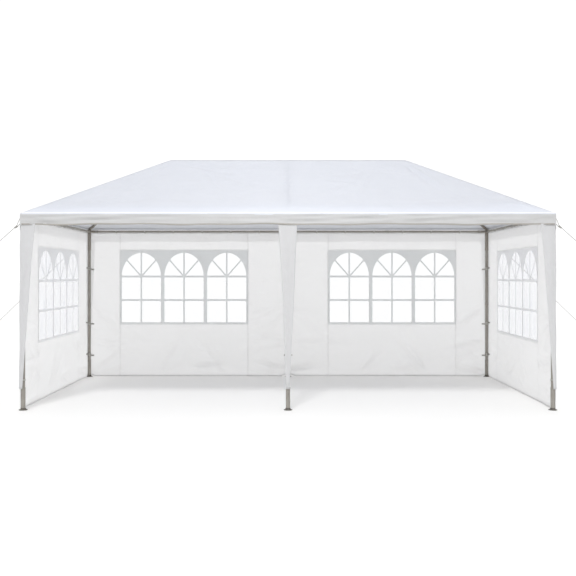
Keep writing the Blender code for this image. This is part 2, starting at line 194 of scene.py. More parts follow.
# The welt is near white and almost opaque, brighter than the cover: a painted highlight along the fold at the
# eave.
welt = sheeting("doubled_polyethylene_welt_painted_highlight", "#FCFCFD", 0.05, "#FCFCFD", crumple=0.0)
lattice_vinyl = sheeting("white_printed_vinyl_lattice", "#F0F1F1", 0.54, "#F4F5F5", 0.4, 0.0)
end_lattice_vinyl = sheeting("thin_white_printed_vinyl_lattice", "#F6F6F6", 0.76, "#FAFAFA", 0.4, 0.0)
webbing = sheeting("grey_elastic_webbing", "#BDBAB5", 0.25, "#CFCDC9", 0.8, 0.1)
print("tape width", TAPE_WIDTH * 1000, "mm")

# %% [markdown]
# ## Clear film, painted steel, zinc, rope and moulded plastic
# The window film is plasticised vinyl: clear, glossy and faintly rippled, and more streaked at the
# ends than at the back. Its Principled shader has a low alpha, which an exported model keeps. The
# tubes are steel with a warm grey powder coat, which leaves a fine orange-peel surface about 2 mm
# from bump to bump. Pegs, screws and eyelets are zinc plated. Zinc is a metal, so it keeps the
# default IOR and takes its tone from its colour. The foot is a dark moulding.

# %% Make the film and the hard materials
def coated(name, hex_colour, roughness, metallic=0.0, grain=0.002, bump=0.1, patch="#000000"):
    """A moulded, plated or painted surface with a fine grain and slight patches of another tone."""
    made, node = new_material(name)
    place = node("TexCoord").outputs["Object"]
    peel = node("TexNoise", {"Vector": place, "Scale": 1 / grain, "Detail": 2.0})
    dents = node("Bump", {"Height": peel, "Strength": bump, "Distance": grain / 10})
    patches = node("TexNoise", {"Vector": place, "Scale": 14.0, "Detail": 6.0})
    spread = node("MapRange", {"Value": patches, "From Min": 0.35, "From Max": 0.75, "To Max": 0.55})
    tone = node("Mix", {"Factor": spread, "A": paint(hex_colour), "B": paint(patch)}, data_type="RGBA")
    rough = node("MapRange", {"Value": patches, "To Min": roughness * 0.8, "To Max": roughness * 1.2})
    face = node("BsdfPrincipled", {
        "Base Color": tone, "Roughness": rough, "Metallic": metallic, "Normal": dents})
    node("OutputMaterial", {"Surface": face})
    return made


def clear_film(name, streaked, alpha):
    """Clear vinyl with a faint bluish body and long upright ripples from being rolled up."""
    made, node = new_material(name)
    metres = node("UVMap", uv_map="metres")
    stretched = node("Mapping", {"Vector": metres, "Scale": (14.0, 0.8, 1.0)})
    ripples = node("TexNoise", {"Vector": stretched, "Detail": 2.0})
    bent = node("Bump", {"Height": ripples, "Strength": 0.5, "Distance": 0.004})
    streak = node("MapRange", {"Value": ripples, "From Min": 0.42, "From Max": 0.60})
    tone = node("Mix", {"Factor": streak, "A": paint("#FAFBFE"), "B": paint(streaked)}, data_type="RGBA")
    face = node("BsdfPrincipled", {
        "Base Color": tone, "Roughness": 0.12, "IOR": 1.53, "Alpha": alpha, "Normal": bent})
    node("OutputMaterial", {"Surface": face})
    return made


tube_paint = coated("warm_grey_powder_coated_steel", "#9A968F", 0.42, patch="#827D75", bump=0.15)
joint_paint = coated("dark_grey_powder_coated_castings", "#918B82", 0.45, patch="#7C766D", bump=0.2)
foot_moulding = coated("dark_grey_moulded_foot", "#5A5650", 0.55, grain=0.001, patch="#6E6961", bump=0.2)
zinc = coated("zinc_plated_steel", "#B9BABC", 0.32, 1.0, grain=0.001, patch="#8F9093")
rope_yarn = coated("twisted_polypropylene_rope", "#9A9893", 0.7, grain=0.0006, bump=0.6, patch="#807E7A")
moulded = coated("grey_moulded_nylon", "#9D9A95", 0.5, grain=0.0008, patch="#8C8985")
back_film = clear_film("clear_vinyl_window_film", "#E4E9F5", 0.08)
end_film = clear_film("streaked_vinyl_window_film", "#B4C0DC", 0.18)
print("finishes", [made.name for made in bpy.data.materials])

# %% [markdown]
# ## Sheets from a grid
# Each sheet is a grid of points that a formula bends into place: `columns` run along the sheet and
# `rows` run down it, both in metres where they can be, so that the same numbers make the UV map. A
# Solidify modifier gives the sheet its thickness. Real sheeting is 0.25 mm thick, and it is drawn
# 0.8 mm thick here so that hems and laps keep a visible edge.

# %% Build a sheet and finish a piece
SHEET = 0.0008


def finish_piece(obj, finish, slot, *nodes):
    """Gives a piece its material, lets it ride on the frame, and hides the solids it stands for."""
    obj.data.materials.clear()
    obj.data.materials.append(finish)
    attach(obj, "root")
    if nodes:
        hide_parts(*nodes)
    return obj


def new_object(name, data):
    """Puts a new object into the scene."""
    obj = bpy.data.objects.new(name, data)
    bpy.context.scene.collection.objects.link(obj)
    return obj


def to_object(name, bm):
    """Turns what was built in bmesh into an object."""
    mesh = bpy.data.meshes.new(name)
    bm.to_mesh(mesh)
    bm.free()
    return new_object(name, mesh)


def thicken(obj, thickness):
    """Gives a sheet its thickness, half on each side."""
    shell = obj.modifiers.new("thickness", "SOLIDIFY")
    shell.thickness = thickness
    shell.offset = 0.0
    return obj


def grid_sheet(name, columns, rows, place, skip=None, thickness=SHEET, uv=None):
    """A sheet through place(columns, rows). skip says which cells are a hole, from their middles."""
    across, down = np.meshgrid(np.asarray(columns, float), np.asarray(rows, float), indexing="ij")
    points = np.stack(place(across, down), axis=-1).reshape(-1, 3)
    flat = np.stack(uv(across, down) if uv else (across, down), axis=-1).reshape(-1, 2)
    count = len(rows)
    bm = bmesh.new()
    layer = bm.loops.layers.uv.new("metres")
    verts = [bm.verts.new(point) for point in points.tolist()]
    for i in range(len(columns) - 1):
        for j in range(count - 1):
            if skip and skip((columns[i] + columns[i + 1]) / 2, (rows[j] + rows[j + 1]) / 2):
                continue
            corners = [i * count + j, (i + 1) * count + j, (i + 1) * count + j + 1, i * count + j + 1]
            face = bm.faces.new([verts[k] for k in corners])
            face.smooth = True
            for loop, k in zip(face.loops, corners):
                loop[layer].uv = flat[k]
    bmesh.ops.delete(bm, geom=[v for v in bm.verts if not v.link_faces], context="VERTS")
    bmesh.ops.remove_doubles(bm, verts=bm.verts, dist=1e-5)
    bmesh.ops.dissolve_degenerate(bm, edges=bm.edges, dist=1e-6)
    return thicken(to_object(name, bm), thickness)


def steps(start, stop, size):
    """Evenly spaced values from start to stop, about size apart."""
    return list(np.linspace(start, stop, max(2, int(round(abs(stop - start) / size)) + 1)))


def ease(t):
    """0 below 0, 1 above 1, and a smooth rise between."""
    t = np.clip(t, 0.0, 1.0)
    return t * t * (3 - 2 * t)


print("drawn sheet", SHEET * 1000, "mm thick")

# %% [markdown]
# ## Folds
# Sheeting that has been folded in a bag and then pulled tight shows two kinds of fold. Creases are
# long soft ridges that run out from a corner that pulls. Waves are the slack between two ties. Both
# are sums of simple curves with a seeded choice of place and direction, so each run gives the same
# folds. This is quicker than a cloth simulation, and taut sheeting hardly drapes.

# %% Two kinds of fold
def creases(seed, origins, count, spread, length, width, height):
    """A list of soft ridges. Each starts at an origin (u, v, angle) and fans out by spread."""
    dice = np.random.default_rng(seed)
    made = []
    for u, v, angle in [origin for origin in origins for _ in range(count)]:
        turn = angle + dice.uniform(-spread, spread)
        made.append((
            u + dice.uniform(-0.05, 0.05), v + dice.uniform(-0.03, 0.03), math.cos(turn), math.sin(turn),
            length * dice.uniform(0.5, 1.2), width * dice.uniform(0.7, 1.6),
            height * dice.uniform(0.3, 1.0) * dice.choice((-1, 1))))
    return made


def relief(ridges, u, v):
    """Height of a list of creases at (u, v)."""
    total = 0.0 * u
    for u0, v0, cos, sin, length, width, height in ridges:
        along = (u - u0) * cos + (v - v0) * sin
        aside = (v - v0) * cos - (u - u0) * sin
        fade = ease(along / (0.25 * length)) * ease((length - along) / (0.6 * length))
        total += height * fade * np.exp(-((aside / (width * (0.5 + np.maximum(along, 0) / length))) ** 2))
    return total


def waves(seed, u, v, height, across, along, count=7):
    """Slack with a wavelength of about along in u and across in v."""
    dice = np.random.default_rng(seed)
    total = 0.0 * u
    for _ in range(count):
        pace_u, pace_v = dice.uniform(0.4, 1.4, 2) * 2 * math.pi / (along, across)
        total += np.sin(pace_u * u * dice.choice((-1, 1)) + pace_v * v + dice.uniform(0, 2 * math.pi))
    return height * total / count * 1.6


sample = waves(1, np.linspace(0, 3, 100), np.zeros(100), 0.010, 0.5, 0.7)
print("a wave drawn 10 mm high rises to", round(1000 * float(sample.max()), 1), "mm")

# %% [markdown]
# ## The roof cover
# The cover is one sewn sheet: four slopes that meet on the ridge and the hips, a fold over the eave
# bars, and a valance that hangs below. Four flat panels would show hard joints, so it is one grid
# that runs round the eaves in columns and from the ridge to the hem in rows. A soft minimum of the
# long and the end slope gives each hip the round of the tube under it.

# %% Columns round the eaves
FOLD_ROUND = 0.012
CORNER_ROUND = 0.022
COLUMN_STEP = 0.034
near_x, near_y = COVER_X - CORNER_ROUND, COVER_Y - CORNER_ROUND


def eave_points():
    """(x, y, ridge x, normal x, normal y) round the eaves from the front left corner."""
    for side, (nx, ny) in enumerate(((0, -1), (1, 0), (0, 1), (-1, 0))):
        first_x, last_x, last_y = nx + ny, nx - ny, ny + nx
        start = np.array((nx * COVER_X + ny * near_x, ny * COVER_Y - nx * near_y))
        end = np.array((nx * COVER_X - ny * near_x, ny * COVER_Y + nx * near_y))
        count = int(round(np.linalg.norm(end - start) / COLUMN_STEP))
        for i in range(count + 1):
            x, y = start + (end - start) * (i / count)
            yield x, y, RIDGE_HALF * first_x + RIDGE_HALF * (last_x - first_x) * (i / count), nx, ny
        for angle in np.radians(np.linspace(90 * side - 90, 90 * side, 6)[1:-1]):
            cos, sin = math.cos(angle), math.sin(angle)
            yield (last_x * near_x + CORNER_ROUND * cos, last_y * near_y + CORNER_ROUND * sin,
                   last_x * RIDGE_HALF, cos, sin)


eave = np.array(list(eave_points()))
eave = np.concatenate((eave, eave[:1]))
run = np.concatenate(([0.0], np.cumsum(np.linalg.norm(np.diff(eave[:, :2], axis=0), axis=1))))
print("columns round the eaves", len(eave), "perimeter", round(float(run[-1]), 2), "m")

# %% [markdown]
# The rows are numbered so that one number says where a point is: from 0 at the ridge to 1 where the
# fold starts, then to 2 at the hem. The valance is deeper at the back and the ends, where it laps
# over the walls, than along the open front.

# %% Shape of the cover
RISE = RIDGE_Z - FOLD_Z
END_RUN = COVER_X - RIDGE_HALF
RIDGE_SOFT = 0.009
HIP_SOFT = 0.004
long_pulls = [(-1.5, 1.5, -2.25), (1.5, 1.5, -0.90), (-1.1, 1.3, -0.9), (1.1, 1.3, -2.2),
              (-2.9, 0.05, 0.55), (2.9, 0.05, 2.6), (-1.4, 1.4, -0.25)]
end_pulls = [(0.0, 1.35, -1.2), (0.0, 1.35, -1.9), (-1.4, 0.05, 0.8), (1.4, 0.05, 2.3)]
valance_pulls = [(0.02, 0.0, 0.5), (0.0, 0.10, 0.16), (0.0, 0.04, 0.30)]
long_creases = creases(11, long_pulls, 8, 0.32, 1.5, 0.036, 0.0130)
end_creases = creases(12, end_pulls, 7, 0.35, 1.2, 0.036, 0.0120)
valance_creases = creases(31, valance_pulls, 6, 0.18, 0.75, 0.014, 0.0090)


def slope_height(x, y):
    """Height of the cover over the plan, with the ridge and the hips rounded and the panels slack."""
    soft_y = np.sqrt(y * y + RIDGE_SOFT**2)
    long_side = (COVER_Y - soft_y) / COVER_Y
    end_side = (COVER_X - np.abs(x)) / END_RUN
    nearer = np.minimum(long_side, end_side)
    gap = np.abs(long_side - end_side)
    lowered = HIP_SOFT / RISE * np.log1p(np.exp(-gap * RISE / HIP_SOFT))
    on_long = long_side < end_side
    clear = ease(gap / 0.10) * ease(nearer / 0.06)
    along, up = np.where(on_long, x, y), np.where(on_long, COVER_Y - soft_y, COVER_X - np.abs(x))
    along = along * np.where(on_long, -np.sign(y), np.sign(x))
    folds = np.where(on_long, relief(long_creases, along, up), relief(end_creases, along, up))
    slack = 0.010 * np.sin(math.pi * np.clip(nearer, 0, 1)) * ease(gap / 0.5)
    slack *= np.where(on_long, np.sin(math.pi * np.clip(np.abs(x) / 1.9, 0, 1)), 1.0)
    flutter = waves(21, x, y, 0.0016, 0.55, 0.7)
    off_rafter = np.where(on_long, ease(np.abs(x) / 0.15), 1.0) * ease(gap / 0.15) * ease(nearer / 0.15)
    folds = np.maximum(folds + flutter, -0.003 - 0.012 * off_rafter)
    return FOLD_Z + RISE * (nearer - lowered) + clear * folds - slack


def hem_height(x, y, normal_y):
    """Height of the hem: shallow along the open front, deeper where it laps over a wall."""
    front = ease((-normal_y - 0.5) / 0.5)
    sway = 0.004 * np.sin(x * 4.1 + y * 2.3) + 0.003 * np.sin(x * 9.7 - y * 6.1 + 1.0)
    return FRONT_HEM_Z * front + WALL_HEM_Z * (1 - front) + sway * ease((COVER_X - np.abs(x)) / 0.25)


def valance_relief(x, y, normal_y, drop):
    """How far the valance stands out: long streaks, and creases that run in from each corner.

    It may dip inwards only as far as the bars, the legs and the tops of the flaps allow.
    """
    on_long, in_front = np.abs(normal_y) > 0.7, normal_y < -0.7
    along = np.where(on_long, x, y)
    half = np.where(on_long, COVER_X, COVER_Y)
    to_corner = half - np.abs(along)
    streaks = waves(41, along + 7 * y, drop, 0.0120, 0.070, 1.3, 9)
    sweep = waves(43, along + 3 * y, drop, 0.0080, 0.3, 0.45, 5)
    folds = ease(drop / 0.05) * (streaks + sweep + relief(valance_creases, to_corner, drop))
    folds *= ease((to_corner - np.where(in_front, 0.0, 0.05)) / 0.05)
    to_leg = np.minimum(np.abs(to_corner - 0.032), np.where(on_long, np.abs(along) + 0.05, 9.0))
    room = 0.0030 + 0.006 * ease((to_leg - 0.04) / 0.03)
    room += 0.016 * ease((drop - 0.06) / 0.04) * ease((to_leg - 0.165) / 0.05)
    front_folds = np.minimum(np.maximum(folds, -room), 0.009)
    return np.where(in_front, front_folds, 0.002 + np.minimum(0.45 * np.abs(folds), 0.008))


def cover_place(column, row, stand_off=0.0):
    """The point of the cover at a column number and a row number."""
    x, y, ridge_x, normal_x, normal_y = (eave[np.asarray(column).astype(int), k] for k in range(5))
    start = 1 - FOLD_ROUND * math.cos(PITCH) / COVER_Y
    share = np.clip(row, 0, 1) * start
    plan_x, plan_y = ridge_x + (x - ridge_x) * share, y * share
    edge_x, edge_y = ridge_x + (x - ridge_x) * start, y * start
    drop = np.clip(row - 1, 0, 1) * (FOLD_Z - hem_height(x, y, normal_y) + FOLD_ROUND)
    turn = np.clip(drop / (2 * FOLD_ROUND), 0, 1)
    curve = [(1 - turn) ** 2 * a + 2 * turn * (1 - turn) * b + turn**2 * c for a, b, c in (
        (edge_x, x, x), (edge_y, y, y), (slope_height(edge_x, edge_y), FOLD_Z, FOLD_Z - FOLD_ROUND))]
    on_slope, below = row <= 1, drop > 2 * FOLD_ROUND
    out = (valance_relief(x, y, normal_y, drop) + stand_off) * ~on_slope
    hanging_z = FOLD_Z - FOLD_ROUND - (drop - 2 * FOLD_ROUND)
    tops, hangings = (plan_x, plan_y, slope_height(plan_x, plan_y)), (x, y, hanging_z)
    moves = (normal_x * out, normal_y * out, stand_off * on_slope)
    return tuple(np.where(on_slope, top, np.where(below, hanging, bent)) + move
                 for top, hanging, bent, move in zip(tops, hangings, curve, moves))


def cover_metres(column, row):
    """UV in metres: round the eaves, and down from the ridge."""
    slope = COVER_Y / math.cos(PITCH)
    return run[np.asarray(column).astype(int)], np.where(row <= 1, row * slope, slope + (row - 1) * 0.16)


cover_rows = [*np.linspace(0, 1, 56), 1.03, 1.06, 1.09, 1.12, 1.15, *np.linspace(1.20, 2.0, 11)]
cover = grid_sheet("roof_cover", list(range(len(eave))), cover_rows, cover_place, uv=cover_metres)
finish_piece(cover, roof_sheeting, "roof_sheeting", *[
    f"{piece}_{side}" for piece in ("roof_cover", "valance") for side in ("front", "back", "left", "right")])
# The valance takes the darker grey sheeting, a painted shade.
cover.data.materials.append(valance_painted_shade)
cover.data.materials.append(thin_trim_sheeting)
for face in cover.data.polygons:
    if face.center.z < FOLD_Z - FOLD_ROUND:
        face.material_index = 1 if face.center.y < -near_y else 2

# %% [markdown]
# The four slopes are cut apart and sewn, so each hip and the ridge carry a seam: a flat strip where two
# layers lap. Where the valance is sewn on, the edges stand up as a welt that catches the light and is also
# coloured brighter than the cover, a painted highlight along the eave fold, and the front hem is bound with
# tape. All follow the cover's formula, a hair outside it.

# %% Sew the seams and the hem of the cover
SEAM_LAP = 0.020
HIP_START, HIP_END = 0.02, 0.985
WELT_START, WELT_END = 0.988, 1.05
WELT_HEIGHT = 0.0045


def roof_strip(name, start, end):
    """A lapped seam that lies on the cover between two points of the plan."""
    start, end = np.array(start), np.array(end)
    length = math.hypot(*(end - start))
    step_x, step_y = end - start

    def place(along, aside):
        x = start[0] + step_x * along / length - step_y / length * aside
        y = start[1] + step_y * along / length + step_x / length * aside
        return x, y, slope_height(x, y) + 0.0010

    strip = grid_sheet(name, steps(0, length, 0.03), np.linspace(-SEAM_LAP / 2, SEAM_LAP / 2, 5), place)
    return finish_piece(strip, roof_sheeting, "roof_sheeting")


def round_the_eaves(name, rows, stand_off, finish, count=len(eave)):
    """A strip that follows the cover through some rows, from the front left corner onwards."""
    strip = grid_sheet(name, list(range(count)), rows,
                       lambda column, row: cover_place(column, row, stand_off(row)), uv=cover_metres)
    return finish_piece(strip, finish, "roof_sheeting")


def welt_bulge(row):
    """How far the welt stands up, from one edge of it to the other."""
    return 0.0006 + WELT_HEIGHT * np.sin(math.pi * (row - WELT_START) / (WELT_END - WELT_START))


strips = [roof_strip("ridge_seam", (-RIDGE_HALF, 0), (RIDGE_HALF, 0))]
for sign_x, sign_y in ((-1, -1), (-1, 1), (1, -1), (1, 1)):
    start, end = [(sign_x * (RIDGE_HALF + share * END_RUN), sign_y * share * COVER_Y)
                  for share in (HIP_START, HIP_END)]
    strips.append(roof_strip(f"hip_seam_{sign_x}_{sign_y}", start, end))
front_columns = int(round(2 * near_x / COLUMN_STEP)) + 1
strips.append(round_the_eaves("cover_hem", (1.88, 1.94, 2.0), lambda row: 0.0010 + 0 * row, hem_tape,
                              front_columns))
strips.append(round_the_eaves("cover_welt_painted_highlight", np.linspace(WELT_START, WELT_END, 9), welt_bulge, welt))
print("seams, hem and welt", [strip.name for strip in strips])

# %% [markdown]
# ## Flaps down the legs
# A flap is sewn inside the valance over each leg and narrows towards the foot, so that it hides the
# tube. At a corner it is folded round both sides, and in the middle it is flat. Each is a grid whose
# columns run across the flap and whose rows run from the seam to the foot, with a few upright folds.

# %% Hang the six flaps
FLAP_LAP = 0.015
FLAP_INSET = 0.0042
CORNER_FLAP_TOP, CORNER_FLAP_FOOT = 0.175, 0.034
REAR_FLAP_TOP = 0.110
CENTRE_FLAP_TOP, CENTRE_FLAP_FOOT = 0.109, 0.022
FLAP_CORNER = 0.018
FLAP_FLARE = 0.002


def corner_flap(sign_x, sign_y, widest, column, share):
    """A point of an angled flap. Columns run from -1, on the long side, to 1, on the end."""
    seed = 60 + 2 * sign_x + sign_y
    reach = column * (widest + (CORNER_FLAP_FOOT - widest) * share**0.9)
    turn = np.clip((reach + FLAP_CORNER) / (2 * FLAP_CORNER), 0, 1)
    on_long = np.maximum(-reach - FLAP_CORNER, 0) + FLAP_CORNER * (1 - turn) ** 2
    on_end = np.maximum(reach - FLAP_CORNER, 0) + FLAP_CORNER * turn**2
    folds = waves(seed, column * 0.15, share * 1.9, 0.0035, 0.9, 0.09, 6)
    folds += 0.005 * share * np.sin(column * 5.0 + seed)
    folds = np.maximum(folds + 0.004, 0.0) * ease(share * 6)
    out = folds - FLAP_INSET + FLAP_FLARE * share**2
    long_top = (FRONT_HEM_Z if sign_y < 0 else WALL_HEM_Z) + FLAP_LAP
    top = long_top + (WALL_HEM_Z + FLAP_LAP - long_top) * turn
    z = top + (FLAP_FOOT_Z - top) * share + 0.004 * share * np.sin(column * 7 + seed)
    return (sign_x * (COVER_X - on_long + out * ease(turn * 2)),
            sign_y * (COVER_Y - on_end + out * ease(2 - turn * 2)), z)


def centre_flap(sign_y, column, share):
    """A point of a flat flap over a middle leg. It lies on the tube, and its edges fall back."""
    width = CENTRE_FLAP_TOP + (CENTRE_FLAP_FOOT - CENTRE_FLAP_TOP) * share**0.85
    folds = waves(77 + sign_y, column * 0.1, share * 1.9, 0.003, 0.8, 0.07, 6)
    folds = np.maximum(folds + 0.003, 0.0) * ease(share * 6)
    out = folds - FLAP_INSET + 0.004 * (1 - column**2) * ease(share * 4)
    top = (FRONT_HEM_Z if sign_y < 0 else WALL_HEM_Z) + FLAP_LAP
    x = column * width + 0.004 * np.sin(share * 5 + sign_y)
    return x, sign_y * (COVER_Y + out), top + (FLAP_FOOT_Z - top) * share + 0 * column


def hang_flap(spot, sign_x, sign_y):
    """One flap, in front or at the back, at a corner or in the middle."""
    top, foot = CENTRE_FLAP_TOP, CENTRE_FLAP_FOOT
    if sign_x:
        top, foot = CORNER_FLAP_TOP if sign_y < 0 else REAR_FLAP_TOP, CORNER_FLAP_FOOT

    def place(column, share):
        if sign_x:
            return corner_flap(sign_x, sign_y, top, column, share)
        return centre_flap(sign_y, column, share)

    flap = grid_sheet(f"sheet_leg_flap_{spot}", np.linspace(-1, 1, 37 if sign_x else 15),
                      np.linspace(0, 1, 75), place, uv=lambda column, share: (column * 0.15, share * 1.85))
    finish_piece(flap, thin_trim_sheeting if sign_x and sign_y > 0 else flap_sheeting, "roof_sheeting",
                 f"leg_flap_{spot}")
    return flap


print("flaps", [hang_flap(*spot).name for spot in LEG_SPOTS])

# %% [markdown]
# ## Wall panels
# Each wall is one panel tied to the eave bar and the legs. It hangs almost flat, with faint folds
# that run in from the ties. Its top edge is pulled up behind the bar, so that no gap shows, and dips
# slightly between the ties. The sheet is a grid with the window left out, and all that is sewn or
# welded to it is made with the same bending formula, so hems and film stay on the cloth. The folds
# fade out at the window, because the film is stiff.

# %% Bend a wall panel
WALL_STEP = 0.028
TIES = 7
HEADER_Z = 2.0
WALL_LIFT = 0.016
WALL_CLEAR = 0.003


class Wall:
    """One wall panel: where it hangs, how it bends, and where its window is."""

    def __init__(self, name, seed):
        low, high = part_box(f"wall_{name}")
        window_low, window_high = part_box(f"window_{name}")
        self.name, self.seed = name, seed
        self.along = 0 if high.x - low.x > high.y - low.y else 1
        self.thin = 1 - self.along
        self.base = (low[self.thin] + high[self.thin]) / 2
        self.outward = math.copysign(1, self.base)
        self.start, self.end = low[self.along], high[self.along]
        self.spacing = (self.end - self.start) / TIES
        self.window = (window_low[self.along], window_high[self.along], window_low.z, window_high.z)
        middle = (self.start + self.end) / 2
        pulls = [(self.start, 0.05, 0.5), (self.start, 1.05, -0.45), (self.end, 0.05, 2.64),
                 (self.end, 1.05, 3.6), (self.start, 0.55, -0.2), (self.end, 0.55, 3.34),
                 (middle - 0.5, 0.02, 0.75), (middle + 0.6, 0.02, 2.3)]
        feet = [(self.start, 0.10, 0.12), (self.end, 0.10, 3.02), (middle, 0.16, 0.08)]
        self.folds = creases(seed, pulls, 7, 0.4, 1.15, 0.036, 0.0170)
        self.folds += creases(seed + 5, feet, 3, 0.12, 0.8, 0.045, 0.0320)

    def bend(self, across, z):
        """How far the panel stands out of its plane."""
        left, right, bottom, top = self.window
        off_x = np.maximum(np.maximum(left - across, across - right), 0)
        off_z = np.maximum(np.maximum(bottom - z, z - top), 0)
        clear = ease(np.hypot(off_x, off_z) / 0.10) * (1 - ease((z - 1.93) / 0.07))
        clear *= ease((across - self.start) / 0.05) * ease((self.end - across) / 0.05)
        billow = 0.010 * np.sin(math.pi * np.clip(z / 2.1, 0, 1))
        slack = waves(self.seed + 1, across, z, 0.0035, 0.5, 0.45)
        return clear * (relief(self.folds, across, z) + slack + billow)

    def point(self, across, z, stand_off=0.0):
        """The point of the panel at a distance along it and a height, stood off outwards."""
        out = self.base + self.outward * (self.bend(across, z) + stand_off)
        edge = np.minimum(across - self.start, self.end - across)
        dip = 0.006 * np.sin(math.pi * (across - self.start) / self.spacing) ** 2
        dip = dip + 0.022 * (1 - ease(edge / 0.14)) * (self.along == 0)
        sag = (WALL_FOOT_Z - WALL_CLEAR) * ease((edge - FOOT_R) / 0.06)
        lift = (WALL_LIFT - dip) * ease((z - HEADER_Z) / (WALL_TOP_Z - HEADER_Z))
        height = z + lift - sag * (1 - ease(z / 0.5))
        return (across, out, height) if self.along == 0 else (out, across, height)

    def lines(self, strips=()):
        """Grid lines along and up the panel, with extra ones at the strips and the window."""
        left, right, bottom, top = self.window
        made = []
        for first, stops in (
                (0, (self.start, left, right, self.end)), (2, (WALL_FOOT_Z, bottom, top, WALL_TOP_Z))):
            values = [value for pair in zip(stops, stops[1:]) for value in steps(*pair, WALL_STEP)]
            values += [edge for strip in strips for edge in strip[first : first + 2]]
            made.append(sorted({round(float(value), 5) for value in values}))
        return made


walls = [Wall(*panel) for panel in (
    ("back_left", 101), ("back_right", 111), ("left_end", 121), ("right_end", 131))]
print("panels", {wall.name: (round(wall.start, 3), round(wall.end, 3)) for wall in walls})

# %% Cut and hang the wall panels, with their hems and seams
HEM = 0.018
SEAM = 0.009


def in_any(boxes, across, z):
    """True if a point of the panel lies in one of the boxes (left, right, bottom, top)."""
    return any(left < across < right and bottom < z < top for left, right, bottom, top in boxes)


def hang_wall(wall):
    """The panel without its window, and the doubled strips along its edges and seams."""
    left, right, bottom, top = wall.window
    panel = grid_sheet(f"sheet_wall_{wall.name}", *wall.lines(), wall.point,
                       skip=lambda across, z: in_any([wall.window], across, z))
    finish_piece(panel, wall_sheeting, "wall_sheeting", f"wall_{wall.name}")
    strips = [(wall.start, wall.end, WALL_FOOT_Z, WALL_FOOT_Z + HEM),
              (wall.start, wall.end, WALL_TOP_Z - HEM, WALL_TOP_Z)]
    strips += [(edge, edge + width, WALL_FOOT_Z, WALL_TOP_Z) for edge, width in (
        (wall.start, HEM), (wall.end - HEM, HEM), (left - SEAM, SEAM), (right, SEAM))]
    hems = grid_sheet(f"hems_wall_{wall.name}", *wall.lines(strips),
                      lambda across, z: wall.point(across, z, -0.0009),
                      skip=lambda across, z: not in_any(strips, across, z))
    finish_piece(hems, hem_sheeting, "wall_sheeting")
    return panel


panels = {wall.name: hang_wall(wall) for wall in walls}
print("wall panels", {name: len(panel.data.polygons) for name, panel in panels.items()})

# %% [markdown]
# ## Windows
# Each window is one sheet of clear film with a white lattice printed on it: three round-headed
# lights side by side, with a centre bar, a transom, a bar below and two spokes in each head. The
# lattice is one flat outline with the panes as holes. A filled 2D curve cuts such holes cleanly,
# where a Boolean would leave slivers. A head is half an ellipse whose centre is on the transom.
# The lattice of the ends lets more light through than that of the back.

# %% Draw the panes of one light
EDGE_LINE = 0.0205
MULLION = 0.054
CENTRE_BAR = 0.025
TRANSOM = 0.030
LOWER_BAR = 0.029
SILL = 0.023
SPOKE = 0.022
SPOKE_ANGLE = math.radians(48.5)
HEAD_BAND = 0.038
TRANSOM_SHARE = 0.357
LOWER_BAR_SHARE = 0.677


def head_panes(half, rise):
    """The two panes right of the centre bar, above the transom, with the transom's centre at 0, 0."""
    cos, sin = math.cos(SPOKE_ANGLE), math.sin(SPOKE_ANGLE)

    def meet(u, z, du, dz):
        """The angle at which a line from (u, z) meets the ellipse of the head."""
        a, b = (du / half) ** 2 + (dz / rise) ** 2, 2 * (u * du / half**2 + z * dz / rise**2)
        t = (-b + math.sqrt(b * b - 4 * a * ((u / half) ** 2 + (z / rise) ** 2 - 1))) / (2 * a)
        return math.atan2((z + t * dz) / rise, (u + t * du) / half)

    def arc(first, last):
        return [(half * math.cos(t), rise * math.sin(t)) for t in np.linspace(first, last, 14)]

    bar, rail, spoke = CENTRE_BAR / 2, TRANSOM / 2, SPOKE / 2
    inner_foot = (bar, cos * spoke + (bar + sin * spoke) / cos * sin)
    outer_foot = (sin * spoke + (rail + cos * spoke) / sin * cos, rail)
    return ([inner_foot, *arc(meet(-sin * spoke, cos * spoke, cos, sin), meet(bar, 0, 0, 1))],
            [outer_foot, *arc(meet(0, rail, 1, 0), meet(sin * spoke, -cos * spoke, cos, sin))])


def lattice_outlines(window):
    """The edge of the lattice and all its panes, along and up the wall."""
    left, right, bottom, top = window
    outlines = [[(left, bottom), (right, bottom), (right, top), (left, top)]]
    half = (right - left - 2 * EDGE_LINE - 2 * MULLION) / 6
    transom, lower_bar = (top - share * (top - bottom) for share in (TRANSOM_SHARE, LOWER_BAR_SHARE))
    rows = [(bottom + SILL, lower_bar - LOWER_BAR / 2), (lower_bar + LOWER_BAR / 2, transom - TRANSOM / 2)]
    panes = [[(CENTRE_BAR / 2, foot), (half, foot), (half, head), (CENTRE_BAR / 2, head)]
             for foot, head in rows]
    panes += [[(u, z + transom) for u, z in pane] for pane in head_panes(half, top - transom - HEAD_BAND)]
    for number in range(3):
        centre = left + EDGE_LINE + half + number * (2 * half + MULLION)
        for pane in panes:
            outlines += [[(centre + u, z) for u, z in pane], [(centre - u, z) for u, z in reversed(pane)]]
    return outlines


print("outlines in one lattice", len(lattice_outlines(walls[1].window)))

# %% Fill the lattice and lay the film behind it
PRINT_THICKNESS = 0.0005


def evaluated(obj):
    """The mesh of an object as its modifiers or its curve leave it."""
    return bpy.data.meshes.new_from_object(obj.evaluated_get(bpy.context.evaluated_depsgraph_get()))


